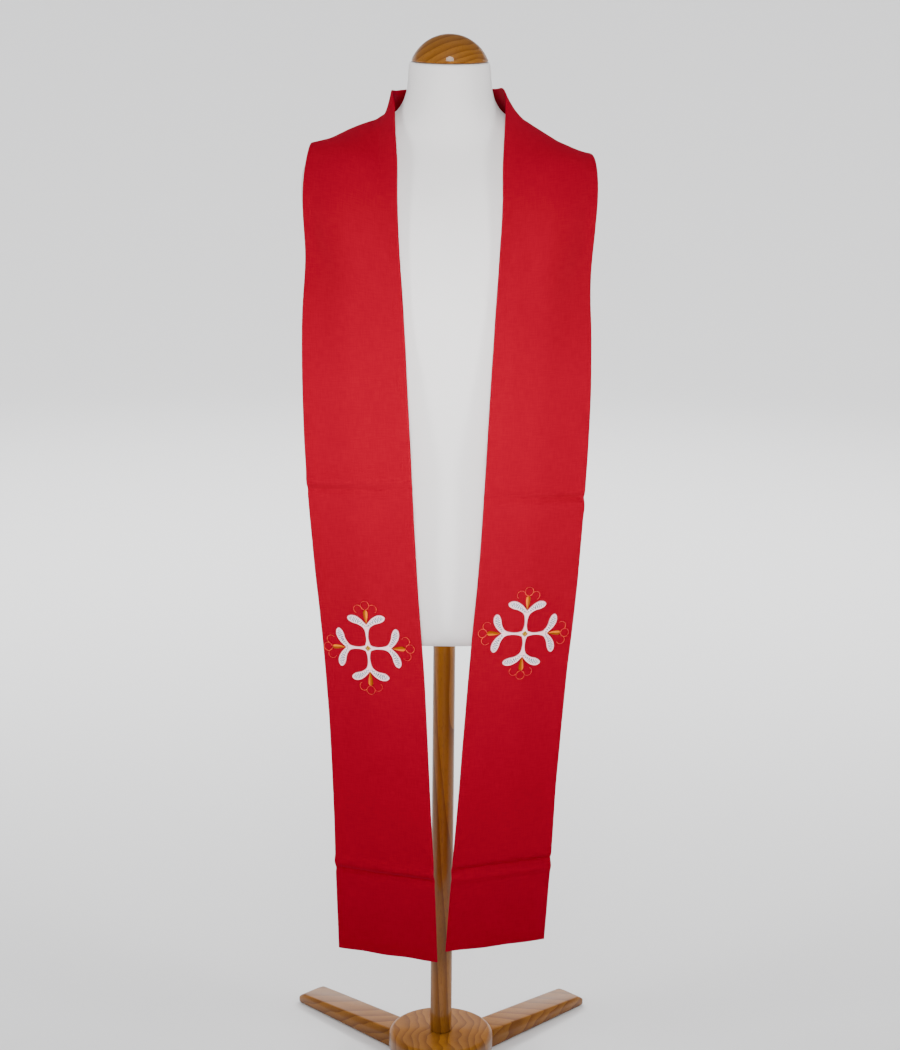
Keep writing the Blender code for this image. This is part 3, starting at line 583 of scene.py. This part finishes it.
def inside_outline(points, outline):
    """How deep inside an outline points lie, how far along it is nearest, and the nearest place."""
    start, run = outline, np.roll(outline, -1, axis=0) - outline
    length = np.hypot(*run.T)
    offset = points[:, None, :] - start
    t = np.clip((offset * run).sum(2) / length**2, 0.0, 1.0)
    gap = np.hypot(*(offset - t[:, :, None] * run).transpose(2, 0, 1))
    near = gap.argmin(1)
    every = np.arange(len(points))
    share = t[every, near]
    end = start + run
    spans = (start[:, 1] > points[:, 1:]) != (end[:, 1] > points[:, 1:])
    with np.errstate(divide="ignore", invalid="ignore"):
        crossing = start[:, 0] + run[:, 0] * (points[:, 1:] - start[:, 1]) / run[:, 1]
    within_it = (spans & (points[:, :1] < crossing)).sum(1) % 2 == 1
    depth = np.where(within_it, 1, -1) * gap[every, near]
    along = (np.cumsum(length) - length)[near] + share * length[near]
    return depth, along, start[near] + share[:, None] * run[near]


def on_band(side, flat_points, height):
    """Points over a band's outer face, from places on the flat cross and their heights."""
    face = outer_faces[side]
    normals = normals_of(face, SIDES[side]["sign"])
    down, out = CROSS_AT[side]
    rows_at = (down - flat_points[:, 1]) / LENGTH * ALONG
    columns_at = (out + flat_points[:, 0]) / BAND_WIDTH * ACROSS
    r, c = rows_at.astype(int), columns_at.astype(int)
    v, u = (rows_at - r)[:, None], (columns_at - c)[:, None]
    spots, up = (values[r, c] * (1 - u) * (1 - v) + values[r, c + 1] * u * (1 - v)
                 + values[r + 1, c] * (1 - u) * v + values[r + 1, c + 1] * u * v
                 for values in (face, normals))
    return spots + up * np.asarray(height)[:, None]


def satin(name, side, outline, cell, lift, rise, thread_places, material, replaced):
    """A patch of stitches: small cells fill an outline, raised in the middle by their padding."""
    low, high = outline.min(0), outline.max(0)
    count = np.ceil((high - low) / cell).astype(int) + 1
    ys, xs = np.mgrid[0:count[1] + 1, 0:count[0] + 1]
    corners = np.stack((xs, ys), axis=2).reshape(-1, 2) * cell + low - cell / 2
    centres = (corners.reshape(*xs.shape, 2)[:-1, :-1] + cell / 2).reshape(-1, 2)
    filled = (inside_outline(centres, outline)[0] > 0).reshape(count[1], count[0])
    index = np.arange(len(corners)).reshape(xs.shape)
    quads = np.stack((index[:-1, :-1], index[:-1, 1:], index[1:, 1:], index[1:, :-1]), axis=2)[filled]
    framed = np.pad(filled, 1)
    whole = framed[:-1, :-1] & framed[:-1, 1:] & framed[1:, :-1] & framed[1:, 1:]
    used = np.unique(quads)
    points = corners[used]
    depth, along, nearest = inside_outline(points, outline)
    rim = ~whole.reshape(-1)[used]
    points[rim] = nearest[rim]
    depth[rim] = 0.0
    renumber = np.zeros(len(corners), int)
    renumber[used] = np.arange(len(used))
    faces = renumber[quads]
    if SIDES[side]["sign"] < 0:
        faces = faces[:, ::-1]
    mesh = bpy.data.meshes.new(name)
    mesh.from_pydata(on_band(side, points, lift + rise(np.maximum(depth, 0.0))).tolist(), [],
                     faces.tolist())
    threads = mesh.uv_layers.new(name="threads").data
    places = thread_places(points, along, depth)
    threads.foreach_set("uv", places[faces.reshape(-1)].ravel())
    piece = bpy.data.objects.new(name, mesh)
    bpy.context.scene.collection.objects.link(piece)
    mesh.materials.append(material)
    work(piece, "SOLIDIFY", thickness=0.0001, offset=-1.0)
    pick(piece)
    bpy.ops.object.shade_smooth()
    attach(piece, "root")
    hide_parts(replaced)
    return piece


def rounded(depth, width):
    return np.sqrt(1 - (1 - np.clip(depth / width, 0.0, 1.0))**2)


def in_the_leaves(points, along, depth):
    """Thread places along the edge and in from it, where only the leaves count as deep."""
    in_a_leaf = smoothstep(0.030, 0.037, np.abs(points).max(1))
    return np.stack((along, np.minimum(depth, 0.0012 + 0.01 * in_a_leaf)), axis=1)


white_satin, tree, shader = finish("white satin stitch", 0.5, Specular_IOR_Level=1.0)
along, deep, _ = add(tree, "SeparateXYZ", {"Vector": add(tree, "TexCoord").outputs["UV"]}).outputs
where = add(tree, "TexCoord").outputs["Object"]
stitches = place(tree, rows, {"Place": along, "Pitch": 0.0005, "Waver": 0.8, "Vector": where})["Height"]
centre = between(tree, deep, BORDER - 0.0004, BORDER + 0.0004)
# Painted shade: the satin's outer rim is painted dark red, partly the red ground showing where the stitches
# dive in and partly a painted shadow round the raised cross.
painted_shadow_rim = between(tree, deep, 0.0002, 0.0009, 1.0, 0.0)
tone = place(tree, mottle, {"Vector": where, "Scale": 260.0, "Amount": 0.14})["Tone"]
dashes = place(tree, rows, {"Place": along, "Pitch": 0.0032, "Waver": 0.4, "Vector": where})["Height"]
filling = blend_colours(tree, between(tree, dashes, 0.70, 0.98), (0.05, 0.055, 0.09), (1.0, 0.90, 0.97))
# The leaf borders are painted pink: partly the red cloth seen through the thin stitches, partly painted red
# light bounced off the cloth.
white = blend_colours(tree, centre, (1.0, 0.60, 0.66), filling)
white = blend_colours(tree, calc(tree, "MULTIPLY", painted_shadow_rim, 0.9), white, (0.36, 0.05, 0.09))
shaded = calc(tree, "MULTIPLY", tone, between(tree, stitches, 0.0, 0.6, 0.82, 1.0))
sewn = add(tree, "HueSaturation", {"Value": shaded, "Color": white})
tree.links.new(sewn.outputs["Color"], shader.inputs["Base Color"])
bump(tree, shader, stitches, 0.0002, 0.5)

gold_satin, tree, shader = finish("gold satin stitch", 0.45, Specular_IOR_Level=0.12)
across, along, _ = add(tree, "SeparateXYZ", {"Vector": add(tree, "TexCoord").outputs["UV"]}).outputs
where = add(tree, "TexCoord").outputs["Object"]
stitches = place(tree, rows, {"Place": along, "Pitch": 0.0005, "Waver": 0.8, "Vector": where})["Height"]
# Painted light: each bud is painted lighter gold on one side and darker brown on the other, as though lit
# from that side.
painted_lit_side = between(tree, across, -0.0022, 0.0012, 1.0, 0.0)
gold = blend_colours(tree, painted_lit_side, (0.24, 0.055, 0.001), (0.72, 0.17, 0.001))
shaded = between(tree, stitches, 0.0, 0.6, 0.72, 1.0)
sewn = add(tree, "HueSaturation", {"Value": shaded, "Color": gold})
tree.links.new(sewn.outputs["Color"], shader.inputs["Base Color"])
bump(tree, shader, stitches, 0.0002, 0.5)

striped_gold, tree, shader = finish("gold and brown stitch", 0.40, Specular_IOR_Level=0.5)
across, along, _ = add(tree, "SeparateXYZ", {"Vector": add(tree, "TexCoord").outputs["UV"]}).outputs
slanted = calc(tree, "SUBTRACT", calc(tree, "MULTIPLY", across, 0.8), calc(tree, "MULTIPLY", along, 0.5))
stripe = between(tree, calc(tree, "SINE", calc(tree, "MULTIPLY", slanted, 2300.0)), -0.3, 0.3)
gold = blend_colours(tree, stripe, (0.11, 0.055, 0.002), (0.50, 0.24, 0.003))
tree.links.new(gold, shader.inputs["Base Color"])

for side in SIDES:
    label = f"embroidery_{side}"
    cross = satin(f"{side}_cross", side, cross_outline(), 0.0006, 0.0002,
                  lambda d: 0.0010 * rounded(d, 0.0012) - 0.0003 * smoothstep(0.0017, 0.0024, d),
                  in_the_leaves, white_satin, f"{label}_cross")
    corners = np.array(((DIAMOND, 0.0), (0.0, DIAMOND), (-DIAMOND, 0.0), (0.0, -DIAMOND)))
    diamond = satin(f"{side}_diamond", side, corners, 0.0004, 0.0013,
                    lambda d: 0.0005 * rounded(d, 0.0015),
                    lambda points, along, depth: points, striped_gold, f"{label}_centre")
    for turn in range(4):
        edge = eased(BUD_EDGE, 16)
        whole = np.concatenate((edge, (edge * (-1, 1))[::-1]))
        bud = satin(f"{side}_bud_{turn + 1}", side, spun(whole, turn), 0.0004, 0.0002,
                    lambda d: 0.0013 * rounded(d, 0.0028),
                    lambda points, along, depth: spun(points, -turn), gold_satin,
                    f"{label}_bud_{turn + 1}")


# ---------------------------------------------------------------- thread loops
# Three open loops past each bud, run in one gold thread. The thread lies flat on the cloth and is
# caught down through it at each stitch.
loop_thread, tree, shader = finish("gold running thread", 0.5, Specular_IOR_Level=0.4)
where = add(tree, "TexCoord").outputs["Object"]
caught = add(tree, "TexNoise", {"Vector": where, "Scale": 230.0, "Detail": 2.0}).outputs["Fac"]
gold = blend_colours(tree, between(tree, caught, 0.38, 0.66), (0.40, 0.006, 0.010), (0.66, 0.055, 0.014))
tree.links.new(gold, shader.inputs["Base Color"])


def ring(centre, radius, start, end, steps=26):
    angles = np.radians(np.linspace(start, end, steps))
    return np.array(centre) + radius * np.stack((np.cos(angles), np.sin(angles)), axis=1)


for side in SIDES:
    curve = bpy.data.curves.new(f"{side}_thread_loops", "CURVE")
    curve.dimensions = "3D"
    curve.bevel_depth = 0.00042
    curve.bevel_resolution = 2
    curve.use_fill_caps = True
    for turn in range(4):
        uneven = 0.0003 * sin(2.4 * turn + (0.0 if side == "left" else 1.7))
        reach = 12 * sin(1.9 * turn + 0.5)
        end_loop = ring((uneven, 0.0619 + uneven), 0.0061, -76, 256 + reach)
        left_loop = ring((-0.0106, 0.0563 + uneven), 0.0061, 8, 236 - reach)
        right_loop = ring((0.0106, 0.0563 - uneven), 0.0061, 172, -56 - reach)
        for path in (end_loop, np.concatenate((((-0.0006, 0.0552),), left_loop)),
                     np.concatenate((((0.0006, 0.0552),), right_loop))):
            laid = on_band(side, spun(path, turn), np.full(len(path), 0.0005))
            spline = curve.splines.new("POLY")
            spline.points.add(len(laid) - 1)
            spline.points.foreach_set("co", np.column_stack((laid, np.ones(len(laid)))).ravel())
    drawn = bpy.data.objects.new(f"{side}_thread_drawn", curve)
    bpy.context.scene.collection.objects.link(drawn)
    bpy.context.view_layer.update()
    ready = drawn.evaluated_get(bpy.context.evaluated_depsgraph_get())
    loops = bpy.data.objects.new(f"{side}_thread_loops", bpy.data.meshes.new_from_object(ready))
    bpy.context.scene.collection.objects.link(loops)
    bpy.data.objects.remove(drawn, do_unlink=True)
    loops.data.materials.clear()
    loops.data.materials.append(loop_thread)
    loops.data.shade_smooth()
    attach(loops, "root")


# ---------------------------------------------------------------- camera, floor and light
# A camera in front, above the shoulders. A pale sweep runs up into a round wall, and soft round
# lamps hang before the bands, over the neck, over the back, at both sides and by the wall.
camera = bpy.data.objects.new("camera", bpy.data.cameras.new("camera"))
bpy.context.scene.collection.objects.link(camera)
camera.location = (0.0, -3.2, 1.70)
camera.rotation_mode = "ZYX"
camera.rotation_euler = (radians(75), 0.0, radians(0.54))
camera.data.lens = 80
camera.data.sensor_width = 36
camera.data.shift_x = 4.5 / 1050
bpy.context.scene.camera = camera

backdrop, tree, shader = finish("pale backdrop", 0.95, Specular_IOR_Level=0.1)
shader.inputs["Base Color"].default_value = (0.64, 0.64, 0.645, 1.0)
bpy.ops.object.select_all(action="DESELECT")
bpy.ops.mesh.primitive_circle_add(vertices=128, radius=5.0, fill_type="NGON")
floor = bpy.context.active_object
floor.name = "floor"
bpy.ops.object.mode_set(mode="EDIT")
bpy.ops.mesh.select_mode(type="EDGE")
bpy.ops.mesh.select_all(action="SELECT")
for i in range(12):
    turn = radians(90) * (i + 0.5) / 12
    grow = (5.0 + 2.0 * sin(radians(90) * (i + 1) / 12)) / (5.0 + 2.0 * sin(radians(90) * i / 12))
    bpy.ops.mesh.region_to_loop()
    bpy.ops.mesh.extrude_region_move(TRANSFORM_OT_translate={
        "value": (0.0, 0.0, 2.0 * (cos(radians(90) * i / 12) - cos(radians(90) * (i + 1) / 12)))})
    bpy.ops.transform.resize(value=(grow, grow, 1.0), center_override=(0, 0, 0))
bpy.ops.mesh.region_to_loop()
bpy.ops.mesh.extrude_region_move(TRANSFORM_OT_translate={"value": (0.0, 0.0, 1.6)})
bpy.ops.object.mode_set(mode="OBJECT")
floor.data.materials.append(backdrop)
bpy.ops.object.shade_smooth_by_angle(angle=radians(30))


def softbox(name, spot, aim, size, power, spread=180):
    """A round lamp at a spot, turned to what it lights and hidden from the camera."""
    light = bpy.data.objects.new(name, bpy.data.lights.new(name, "AREA"))
    bpy.context.scene.collection.objects.link(light)
    light.data.shape = "DISK"
    light.data.size = size
    light.data.energy = power
    light.data.spread = radians(spread)
    light.location = spot
    light.rotation_euler = (Vector(aim) - Vector(spot)).to_track_quat("-Z", "Y").to_euler()
    light.visible_camera = False
    light.visible_glossy = name == "top light"


softbox("key", (0.0, -1.57, 1.06), (0.0, -0.1, 1.04), 0.4, 6.5, spread=70)
softbox("top light", (0.0, -0.62, 2.16), (0.0, -0.1, 1.36), 0.3, 4.1)
softbox("overhead", (0.0, 0.49, 2.40), (0.0, 0.49, 0.0), 0.4, 6.0)
for side, facts in SIDES.items():
    softbox(f"{side} fill", (1.52 * facts["sign"], -1.11, 1.19), (0.0, -0.1, 1.1), 0.4, 20.3)
for number, turn in enumerate((40, 90, 140)):
    spot = (3.0 * cos(radians(turn)), 3.0 * sin(radians(turn)))
    softbox(f"backdrop light {number}", (*spot, 3.4), (1.5 * spot[0], 1.5 * spot[1], 0.0), 2.0, 225)
world = bpy.data.worlds.new("studio")
bpy.context.scene.world = world
world.use_nodes = True
world.node_tree.nodes["Background"].inputs["Color"].default_value = (0.95, 0.97, 1.0, 1.0)
world.node_tree.nodes["Background"].inputs["Strength"].default_value = 0.15
